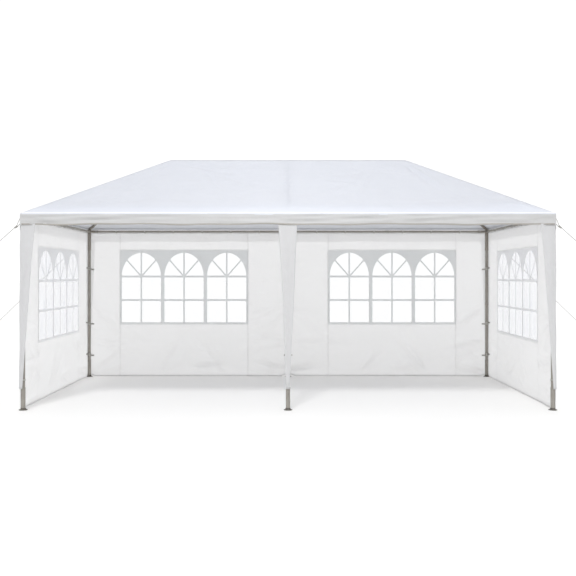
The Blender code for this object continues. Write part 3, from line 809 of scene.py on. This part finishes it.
def filled(name, outlines, half_thickness, bevel=0.0):
    """The mesh of a flat piece with holes, from closed outlines in its own X and Y."""
    curve = bpy.data.curves.new(name, "CURVE")
    curve.dimensions = "2D"
    curve.fill_mode = "BOTH"
    curve.extrude = half_thickness
    curve.bevel_depth = bevel
    curve.bevel_resolution = 2
    for outline in outlines:
        spline = curve.splines.new("POLY")
        spline.points.add(len(outline) - 1)
        spline.use_cyclic_u = True
        for point, (u, v) in zip(spline.points, outline):
            point.co = (u, v, 0.0, 1.0)
    drawn = new_object(name, curve)
    mesh = evaluated(drawn)
    bpy.data.objects.remove(drawn)
    return mesh


def hang_lattice(wall):
    """The lattice on the inside of the film, laid out in metres like the cloth."""
    bm = bmesh.new()
    bm.from_mesh(filled("lattice", lattice_outlines(wall.window), PRINT_THICKNESS / 2))
    bmesh.ops.remove_doubles(bm, verts=bm.verts, dist=1e-6)
    bmesh.ops.recalc_face_normals(bm, faces=bm.faces)
    layer = bm.loops.layers.uv.new("metres")
    for loop in [loop for face in bm.faces for loop in face.loops]:
        loop[layer].uv = loop.vert.co.xy
    lattice = to_object(f"lattice_{wall.name}", bm)
    inner = wall.base - wall.outward * 0.0008
    if wall.along == 0:
        lattice.matrix_world = Matrix(((1, 0, 0, 0), (0, 0, -1, inner), (0, 1, 0, 0), (0, 0, 0, 1)))
    else:
        lattice.matrix_world = Matrix(((0, 0, 1, inner), (1, 0, 0, 0), (0, 1, 0, 0), (0, 0, 0, 1)))
    return finish_piece(lattice, end_lattice_vinyl if wall.along else lattice_vinyl, "wall_sheeting")


def hang_window(wall):
    """The film in the plane of the wall, with its lattice."""
    left, right, bottom, top = wall.window
    lattice = hang_lattice(wall)
    film = grid_sheet(f"film_{wall.name}", steps(left, right, 0.06), steps(bottom, top, 0.06), wall.point,
                      thickness=PRINT_THICKNESS)
    finish_piece(film, end_film if wall.along else back_film, "window_film", f"window_{wall.name}")
    return film


print("windows", [hang_window(wall).name for wall in walls])

# %% [markdown]
# ## Steel tubes
# A leg is a foot plate with a flared socket, and two tubes that meet at a joint with a spring button.
# A turned profile gives all of that at once: the rounded rim of the plate, the flare, the rolled lip
# of the socket and the swaged joint. Small holes are drilled in a row above the foot.

# %% Turn a profile and find where a rod runs
TUBE_SIDES = 32


def turned(name, profile, sides=TUBE_SIDES):
    """A closed piece turned about its own Z from (radius, height) pairs."""
    bm = bmesh.new()
    rings = [(0.0, profile[0][1]), *profile, (0.0, profile[-1][1])]
    verts = [bm.verts.new((radius, 0, height)) for radius, height in rings]
    edges = [bm.edges.new(pair) for pair in zip(verts, verts[1:])]
    bmesh.ops.spin(bm, geom=verts + edges, axis=(0, 0, 1), cent=(0, 0, 0), steps=sides, angle=2 * math.pi)
    bmesh.ops.remove_doubles(bm, verts=bm.verts, dist=1e-6)
    bmesh.ops.recalc_face_normals(bm, faces=bm.faces)
    made = to_object(name, bm)
    made.data.shade_smooth()
    made.data.set_sharp_from_angle(angle=math.radians(35))
    return made


def aimed(obj, start, along, own_axis="Z", own_side="X"):
    """Stands a piece on start with its Z, or another axis of its own, along a direction."""
    turn = Vector(along).to_track_quat(own_axis, own_side).to_matrix().to_4x4()
    obj.matrix_world = Matrix.Translation(start) @ turn
    return obj


def turned_to(angle, first, second):
    """The direction at an angle from a first direction towards a second one."""
    return math.cos(angle) * first + math.sin(angle) * second


def rod_ends(name):
    """The middle of each end of a rod-like solid."""
    points = np.array([v.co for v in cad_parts[name].data.vertices])
    along = np.linalg.svd(points - points.mean(axis=0), full_matrices=False)[2][0]
    reach = points @ along
    rings = [points[np.abs(reach - edge) < 2e-4] for edge in (reach.min(), reach.max())]
    return [Vector((ring.min(axis=0) + ring.max(axis=0)) / 2) for ring in rings]


def joined(name, parts):
    """One object from several, each left where it stands."""
    bm = bmesh.new()
    for part in parts:
        part.data.transform(part.matrix_world)
        bm.from_mesh(part.data)
        bpy.data.objects.remove(part)
    return to_object(name, bm)


print("rafter runs", [[round(c, 3) for c in end] for end in rod_ends("rafter_front_left")])

# %% Make the legs
LEG_R, FOOT_SOCKET_R, SWAGE_R = 0.022, 0.0252, 0.0243
PLATE_TOP_Z, FOOT_TOP_Z, JOINT_Z, LEG_TOP_Z = 0.0062, 0.0262, 1.090, 2.060
HOLE_HEIGHTS = [0.080 + 0.035 * i for i in range(5)]
HOLE_R, PLATE_HOLE_R, PLATE_HOLES_OUT = 0.0035, 0.0028, 0.0405
swage = [(-0.026, LEG_R), (-0.024, 0.0226), (-0.020, 0.0240), (-0.016, SWAGE_R)]
leg_profile = [
    (FOOT_R - 0.0025, 0.0), (FOOT_R - 0.0006, 0.0008), (FOOT_R, 0.0025), (FOOT_R, 0.0042),
    (FOOT_R - 0.0010, 0.0056), (FOOT_R - 0.0030, PLATE_TOP_Z), (0.0350, 0.0064), (0.0325, 0.0085),
    (0.0300, 0.0150), (0.0275, 0.0205), (0.0268, 0.0225), (0.0272, 0.0240),
    (FOOT_SOCKET_R, FOOT_TOP_Z), (FOOT_SOCKET_R, 0.2440), (0.0262, 0.2458), (0.0266, 0.2485),
    (0.0262, 0.2515), (0.0250, 0.2535), (0.0224, 0.2545), (LEG_R, 0.2560),
    *[(radius, JOINT_Z + shift) for shift, radius in swage],
    *[(radius, JOINT_Z - shift) for shift, radius in reversed(swage)], (LEG_R, LEG_TOP_Z),
]


def drilled(obj, places, along, radius, depth):
    """Drills blind holes into a piece, from places on its surface inwards."""
    tool = joined("bits", [aimed(turned("bit", [(radius, -0.004), (radius, depth)], 12), place, along)
                           for place in places])
    cut = obj.modifiers.new("holes", "BOOLEAN")
    cut.solver = "EXACT"
    cut.object = tool
    mesh = evaluated(obj)
    obj.modifiers.remove(cut)
    obj.data = mesh
    bpy.data.objects.remove(tool)


def button(place, along):
    """The domed head of a spring button."""
    dome = turned("button", [(0.0045, -0.001), (0.0045, 0.0012), (0.0040, 0.0024), (0.0022, 0.0032)], 16)
    return aimed(dome, place, along)


buttons = []
for spot, sign_x, sign_y in LEG_SPOTS:
    leg = turned(f"tube_leg_{spot}", leg_profile)
    side = Vector((0.55 * sign_x or 0.4, -0.8, 0)).normalized()
    drilled(leg, [side * FOOT_SOCKET_R + UP * z for z in HOLE_HEIGHTS], -side, HOLE_R, 0.008)
    plate_holes = [PLATE_HOLES_OUT * turned_to(angle, Vector((1, 0, 0)), Vector((0, 1, 0))) + UP * PLATE_TOP_Z
                   for angle in (0.5, 2.6, 4.7)]
    drilled(leg, plate_holes, -UP, PLATE_HOLE_R, 0.004)
    leg.location = (sign_x * LEG_X, sign_y * LEG_Y, 0)
    finish_piece(leg, tube_paint, "steel_tube", f"leg_{spot}")
    leg.data.materials.append(foot_moulding)
    for face in leg.data.polygons:
        face.material_index = int(face.center.z < FOOT_TOP_Z)
    buttons.append(button(leg.location + UP * (JOINT_Z + 0.008) + side * SWAGE_R, side))
print("legs and buttons", len(buttons))

# %% Make the bars and rafters, with a swaged joint where two tubes meet
BAR_SWAGE = [(-0.030, 0.0), (-0.028, 0.0011), (-0.024, 0.0015), (0.024, 0.0015), (0.028, 0.0011),
             (0.030, 0.0)]


def swaged_tube(name, jointed):
    """One bar, from end to end of its solid. The ends sit in sockets."""
    start, end = rod_ends(name)
    length = (end - start).length
    swages = [(TUBE_R + extra, length / 2 + shift) for shift, extra in BAR_SWAGE if jointed]
    profile = [(TUBE_R - 0.0008, 0.0), (TUBE_R, 0.001), *swages, (TUBE_R, length - 0.001),
               (TUBE_R - 0.0008, length)]
    tube = aimed(turned(f"tube_{name}", profile, 28), start, end - start)
    finish_piece(tube, tube_paint, "steel_tube", name)
    if jointed:
        buttons.append(button(start + (end - start) * 0.504 - UP * (TUBE_R + 0.0010), -UP))


bar_nodes = [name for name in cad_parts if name.startswith(("eave_bar", "rafter"))]
ridge_nodes = [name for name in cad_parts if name.startswith("ridge_bar")]
for name in bar_nodes + ridge_nodes:
    swaged_tube(name, name in bar_nodes)
finish_piece(joined("spring_buttons", buttons), zinc, "steel_joint")
print("bars", len(bar_nodes + ridge_nodes), "buttons", len(buttons))

# %% [markdown]
# ## Connectors
# The solids of the connectors have the right shape already, so they stay and only get paint. Real
# ones are welded from socket tubes with a rolled lip at each mouth and a screw that clamps the bar,
# so those are added where each bar leaves its socket. A bar's end sits 60 mm deep in its socket.

# %% Paint the connectors and add lips and clamping screws
SEAT = 0.060
SOCKET_R = 0.0185
LEG_SOCKET_Z = 1.8975
BAR_LIP = [(0.0162, -0.003), (SOCKET_R, -0.003), (0.0196, -0.0015), (0.0196, 0.0008), (0.0188, 0.0018),
           (0.0170, 0.0020), (0.0162, 0.0012)]
LEG_LIP = [(0.0232, -0.002), (0.0256, -0.002), (0.0266, 0.0), (0.0266, 0.003), (0.0256, 0.0045),
           (0.0232, 0.0045)]
for name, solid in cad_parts.items():
    if "connector" in name:
        solid.data.materials.clear()
        solid.data.materials.append(joint_paint)


def clamping_screw(place, along):
    """A hexagon-headed screw with a flange, standing on a socket."""
    flange = turned("flange", [(0.0062, -0.001), (0.0062, 0.0012), (0.0045, 0.0016)], 20)
    head = turned("head", [(0.0050, 0.0014), (0.0050, 0.0050), (0.0042, 0.0056)], 6)
    return [aimed(part, place, along) for part in (flange, head)]


lips, screws = [], []
for start, end in [rod_ends(name) for name in bar_nodes + ridge_nodes]:
    for tip, along in ((start, (end - start).normalized()), (end, (start - end).normalized())):
        lips.append(aimed(turned("lip", BAR_LIP, 28), tip + along * SEAT, along))
        aside = along.cross(UP).normalized()
        inward = aside if aside.dot(-tip) > 0 else -aside
        screws += clamping_screw(tip + along * 0.032 + inward * (SOCKET_R - 0.0006), inward)
for _, sign_x, sign_y in LEG_SPOTS:
    lips.append(aimed(turned("lip", LEG_LIP), (sign_x * LEG_X, sign_y * LEG_Y, LEG_SOCKET_Z), UP))
finish_piece(joined("socket_lips", lips), joint_paint, "steel_joint")
finish_piece(joined("clamping_screws", screws), zinc, "steel_joint")
print("lips", len(lips), "screws", len(screws) // 2)

# %% [markdown]
# ## Ties
# The walls are tied to the eave bars and the legs with loops of grey elastic webbing, 20 mm wide.
# Seen from its end, a loop is a keyhole: a circle round the tube, with two straight runs that meet
# at the hem, where one tail is sewn down. The same outline serves bars and legs, turned to each.

# %% Loop webbing round the bars and legs
WEBBING, WEBBING_THICKNESS = 0.020, 0.0012
WEBBING_OFF = 0.0009
TIE_HEIGHTS = (1.62, 0.80, 0.33)
TIES_APART = 0.022
SEWN_IN = 0.0030


def travelled(points):
    """How far along a path each of its points is."""
    return np.concatenate(([0.0], np.cumsum(np.linalg.norm(np.diff(points, axis=0), axis=1))))


def strap(centre, radius, anchor, axis, tail):
    """A loop of webbing round a tube at centre, sewn at anchor, with a tail along a direction."""
    reach = anchor - centre
    reach -= axis * reach.dot(axis)
    side = reach.normalized()
    other = axis.cross(side)
    half_open = math.acos(radius / reach.length)
    angles = np.linspace(half_open, 2 * math.pi - half_open, 22)
    points = np.array([anchor + tail, anchor, *[
        centre + radius * turned_to(angle, side, other) for angle in angles], anchor])
    length = travelled(points)

    def place(along, aside):
        return tuple(np.interp(along, length, points[:, k]) + aside * axis[k] for k in range(3))

    return grid_sheet("tie", length, (-WEBBING / 2, 0.0, WEBBING / 2), place)


def tie_wall(wall):
    """The ties of one wall: six round its bar, and three round each of its two legs."""
    bar_off = math.copysign(LEG_X if wall.along else LEG_Y, wall.base)
    along, inward = Vector(), Vector()
    along[wall.along], inward[wall.thin] = 1, -wall.outward
    made = []
    for number in range(1, TIES):
        spot = Vector(wall.point(wall.start + number * wall.spacing, WALL_TOP_Z))
        bar = spot.copy()
        bar[wall.thin], bar.z = bar_off, BAR_Z
        anchor = spot + inward * SEWN_IN - UP * 0.008
        made.append(strap(bar, TUBE_R + WEBBING_OFF, anchor, along, -UP * 0.010))
    for across, sign in ((wall.start, 1), (wall.end, -1)):
        leg_at = 0.0 if abs(across) < 0.5 else math.copysign(LEG_Y if wall.along else LEG_X, across)
        for height in TIE_HEIGHTS:
            leg = along * leg_at + UP * (height + TIES_APART * (wall.along - 0.5))
            leg[wall.thin] = bar_off
            anchor = Vector(wall.point(leg_at + sign * 0.045, leg.z)) + inward * SEWN_IN
            radius = FOOT_SOCKET_R if height < 0.5 else LEG_R
            made.append(strap(leg, radius + WEBBING_OFF, anchor, UP, along * sign * 0.020))
    return made


ties = [tie for wall in walls for tie in tie_wall(wall)]
finish_piece(thicken(joined("webbing_ties", ties), WEBBING_THICKNESS), webbing, "wall_sheeting")
print("ties", len(ties))

# %% [markdown]
# ## Guy ropes and pegs
# Each corner is held by a 6 mm rope of three twisted strands. It starts at a knot in a grey slider,
# goes through two eyelets in the corner of the cover, comes back through the slider and runs down
# to a peg. The rope is a three-lobed outline swept along its path, turned once every 20 mm.

# %% Sweep an outline along a path
ROPE_R = 0.003
LAY = 0.020
TIP_SHARES = (0.6, 0.92)


def even(points, size):
    """The same path with points about size apart."""
    points = np.array(points, float)
    length = travelled(points)
    spots = np.linspace(0, length[-1], max(4, int(length[-1] / size)))
    return np.stack([np.interp(spots, length, points[:, k]) for k in range(3)], axis=1)


def rounded(points, count=6):
    """Rounds the corners of a path, each between the middles of its two sides."""
    made = [points[0]]
    for before, here, after in zip(points, points[1:], points[2:]):
        start, end = (before + here) / 2, (here + after) / 2
        made += [start * (1 - t) ** 2 + here * 2 * t * (1 - t) + end * t * t
                 for t in np.linspace(0, 1, count)]
    return [*made, points[-1]]


def swept(name, path, radius, lobes=0, sides=12):
    """A rod along a path, with tips that narrow a little. Lobes make it a twisted rope."""
    path = [Vector(p) for p in path]
    bm = bmesh.new()
    rings, gone = [], 0.0
    before = (path[1] - path[0]).normalized()
    side = before.orthogonal().normalized()
    for i, point in enumerate(path):
        heading = (path[min(i + 1, len(path) - 1)] - path[max(i - 1, 0)]).normalized()
        side.rotate(before.rotation_difference(heading))
        side = (side - heading * side.dot(heading)).normalized()
        other = heading.cross(side)
        gone += (point - path[i - 1]).length if i else 0.0
        from_end = min(i, len(path) - 1 - i)
        share = TIP_SHARES[from_end] if from_end < 2 else 1.0
        ring = []
        for angle in [2 * math.pi * k / sides for k in range(sides)]:
            reach = radius * share * (0.80 + 0.20 * abs(math.cos(lobes * angle / 2)) if lobes else 1.0)
            turn = angle + (2 * math.pi * gone / LAY if lobes else 0.0)
            ring.append(bm.verts.new(point + reach * turned_to(turn, side, other)))
        rings.append(ring)
        before = heading
    for ring, following in zip(rings, rings[1:]):
        for k in range(sides):
            face = bm.faces.new((ring[k], ring[(k + 1) % sides], following[(k + 1) % sides], following[k]))
            face.smooth = True
    bm.faces.new(list(reversed(rings[0])))
    bm.faces.new(rings[-1])
    return to_object(name, bm)


def rope(points):
    """A stretch of the twisted rope through a list of points."""
    return swept("rope", even(points, 0.0025), ROPE_R, lobes=3)


def knot(place, along, turns=2.5, radius=0.0048):
    """A few tight turns of the rope round itself."""
    side = along.orthogonal().normalized()
    other = along.cross(side)
    path = [place + along * (t - 0.5) * 0.012 + radius * turned_to(2 * math.pi * turns * t, side, other)
            for t in np.linspace(0, 1, 46)]
    return swept("knot", path, ROPE_R * 0.75, sides=8)


print("turns of lay in one rope", round(3.1 / LAY))

# %% Make a slider, an eyelet and a peg
SLIDER_R, SLIDER_HOLE_R = 0.0082, 0.0042
SLIDER_HOLES = (-0.014, 0.0, 0.014)
PEG_R, PEG_SHANK, PEG_HOOK_R, PEG_TIP = 0.004, 0.035, 0.012, 0.013
EYELET = [(0.0048, -0.0012), (0.0058, -0.0002), (0.0075, 0.0006), (0.0095, 0.0002), (0.0100, -0.0012)]


def round_outline(centre, radius, first, last, count):
    """Points on a circle about (centre, 0), between two angles in degrees."""
    return [(centre + radius * math.cos(a), radius * math.sin(a))
            for a in np.radians(np.linspace(first, last, count))]


def slider(place, along):
    """A moulded slider: a plate with round ends and three holes, lying along the rope."""
    edge = (round_outline(SLIDER_HOLES[2], SLIDER_R, -90, 90, 12)
            + round_outline(SLIDER_HOLES[0], SLIDER_R, 90, 270, 12))
    holes = [round_outline(middle, SLIDER_HOLE_R, 0, 360, 17)[:-1] for middle in SLIDER_HOLES]
    plate = new_object("slider", filled("slider", [edge, *holes], 0.0022, 0.0008))
    return aimed(plate, place, along, "X", "Y")


def ground_peg(name, foot, flat):
    """A round peg with a hook at its top that points away from the tent."""
    top = UP * PEG_SHANK
    hook = [UP * -0.0004, UP * 0.012, top]
    hook += [flat * PEG_HOOK_R * (1 + math.cos(angle)) + top + UP * PEG_HOOK_R * math.sin(angle)
             for angle in np.linspace(math.pi, 0, 15)[1:]]
    hook.append(flat * 2 * PEG_HOOK_R + top - UP * PEG_TIP)
    return swept(name, [foot + Vector(p) for p in even(hook, 0.003)], PEG_R, sides=18)


# %% Rig the four corners
EYELET_HEIGHTS = (2.158, 2.098)
SLIDER_AT = 0.062
KNOT_AT = 0.040
PEG_BEYOND = 0.007
THROUGH = 0.006
eyelets = []


def rig_corner(spot, sign_x):
    """The rope with its eyelets, slider and knots, and the peg that holds it."""
    start, foot = sorted(rod_ends(f"guy_rope_{spot}"), key=lambda end: -end.z)
    down = (foot - start).normalized()
    flat = Vector((down.x, down.y, 0)).normalized()
    peg_at = foot + flat * PEG_BEYOND
    peg_at.z = 0.0
    hub, knot_at = start + down * SLIDER_AT, foot - down * KNOT_AT
    normal = down.cross(UP.cross(down)).normalized()
    holes = [hub + down * shift for shift in SLIDER_HOLES]
    rings = [Vector((sign_x * (COVER_X + 0.0022), start.y, height)) for height in EYELET_HEIGHTS]
    out = Vector((sign_x * THROUGH, 0, 0))
    # The run from the upper eyelet through the slider to the peg, then the run back to the slider
    main = rope(rounded([
        rings[0] - out, rings[0] + out, holes[0] - down * 0.006 + normal * 0.006, holes[0],
        holes[0] + down * 0.006 - normal * 0.0062, holes[2] - down * 0.006 - normal * 0.0062, holes[2],
        holes[2] + down * 0.008 + normal * 0.0050, holes[2] + down * 0.03, knot_at]))
    second = rope(rounded([
        rings[1] - out, rings[1] + out, holes[1] - down * 0.03 - normal * 0.009, holes[1] - normal * 0.0095]))
    around, aside = [knot_at], flat.cross(UP)
    for angle in np.radians(np.linspace(110, -110, 17)):
        ring = peg_at + UP * (foot.z - 0.003) + (PEG_R + ROPE_R + 0.0001) * turned_to(angle, flat, aside)
        around.append(ring + UP * 0.35 * (PEG_BEYOND - (ring - peg_at).dot(flat)))
    parts = [main, second, rope([*around, knot_at]), knot(knot_at, down),
             knot(holes[1] - normal * 0.0065, normal, 1.5, 0.0040)]
    finish_piece(joined(f"rope_{spot}", parts), rope_yarn, "rope", f"guy_rope_{spot}")
    finish_piece(joined(f"slider_{spot}", [slider(hub, down)]), moulded, "rope")
    eyelets.extend(aimed(turned("eyelet", EYELET, 28), place, (sign_x, 0, 0)) for place in rings)
    finish_piece(ground_peg(f"peg_{spot}", peg_at, flat), zinc, "peg", f"ground_peg_{spot}")


for spot, sign_x, _ in LEG_SPOTS:
    if sign_x:
        rig_corner(spot, sign_x)
finish_piece(joined("eyelets", eyelets), zinc, "rope")
print("eyelets", len(eyelets))

# %% [markdown]
# ## Floor, light and camera
# The tent stands on a wide pale floor that runs into a white background. A studio's dome gives soft
# light, brighter behind the tent than in front and a little cooler overhead. One very wide lamp
# above and in front makes the roof brighter than the upright valance, and a long strip lamp in
# front of the eave lightens the cloth there. The camera stands 10.5 m from the middle of the tent,
# 1.5 m high and level, with a lens a little longer than normal, so bars and legs stay square.

# %% Lay the floor
floor_paint, node = new_material("white_studio_floor")
face = node("BsdfPrincipled", {"Base Color": paint("#FBFAF8"), "Roughness": 0.9, "Specular IOR Level": 0.1})
node("OutputMaterial", {"Surface": face})
bpy.ops.mesh.primitive_plane_add(size=400, location=(0, 0, -0.0005))
floor = bpy.context.object
floor.name = "studio_floor"
floor.data.materials.append(floor_paint)
print("floor", list(floor.dimensions))

# %% Light the studio and place the camera
DOME_FRONT, DOME_BACK = 0.80, 1.12
scene = bpy.context.scene
scene.view_settings.view_transform = "Standard"
scene.world = bpy.data.worlds.new("white_studio")
scene.world.use_nodes = True
scene.world.node_tree.nodes.clear()
node = partial(add_node, scene.world.node_tree)
toward = node("SeparateXYZ", {0: node("TexCoord").outputs["Generated"]}).outputs
level = node("MapRange", {
    "Value": toward["Y"], "From Min": -1.0, "To Min": DOME_FRONT, "To Max": DOME_BACK})
dome = node("Mix", {"Factor": toward["Z"], "A": level, "B": (0.80, 0.81, 0.83, 1.0)}, data_type="RGBA")
lit = node("Background", {"Color": dome})
seen = node("Background", {"Color": (1.0, 1.0, 1.0, 1.0), "Strength": 1.08})
rays = node("LightPath").outputs["Is Camera Ray"]
node("OutputWorld", {"Surface": node("MixShader", {0: rays, 1: lit, 2: seen})})

SUN_TILT, SUN_ASIDE = math.radians(38.5), math.radians(-8)
sun = bpy.data.lights.new("overhead_softbox", "SUN")
sun.energy = 1.07
sun.angle = math.radians(12)
sun.color = (0.985, 0.99, 1.0)
sun_lamp = new_object("overhead_softbox", sun)
sun_lamp.rotation_euler = (SUN_TILT, SUN_ASIDE, 0.0)
sun_lamp.location = (0.0, -3.0, 8.0)

STRIP_AT = Vector((0.0, -2.7, 3.7))
strip_light = bpy.data.lights.new("eave_strip_light", "AREA")
strip_light.shape = "RECTANGLE"
strip_light.size, strip_light.size_y = 7.0, 0.5
strip_light.energy = 12.0
strip_lamp = aimed(new_object("eave_strip_light", strip_light), STRIP_AT,
                   STRIP_AT - Vector((0, -COVER_Y, FOLD_Z)))
strip_lamp.visible_camera = False

CAMERA_BACK, CAMERA_Z = 10.5, 1.51
lens = bpy.data.cameras.new("camera")
lens.sensor_width = 36.0
lens.lens = 49.9
lens.shift_y = -12 / 576
lens.clip_end = 500.0
scene.camera = new_object("camera", lens)
scene.camera.location = (0.0, -CAMERA_BACK, CAMERA_Z)
scene.camera.rotation_euler = (math.pi / 2, 0.0, 0.0)
print("camera", list(scene.camera.location), "lens", lens.lens)

# %% Finish
bpy.context.view_layer.update()
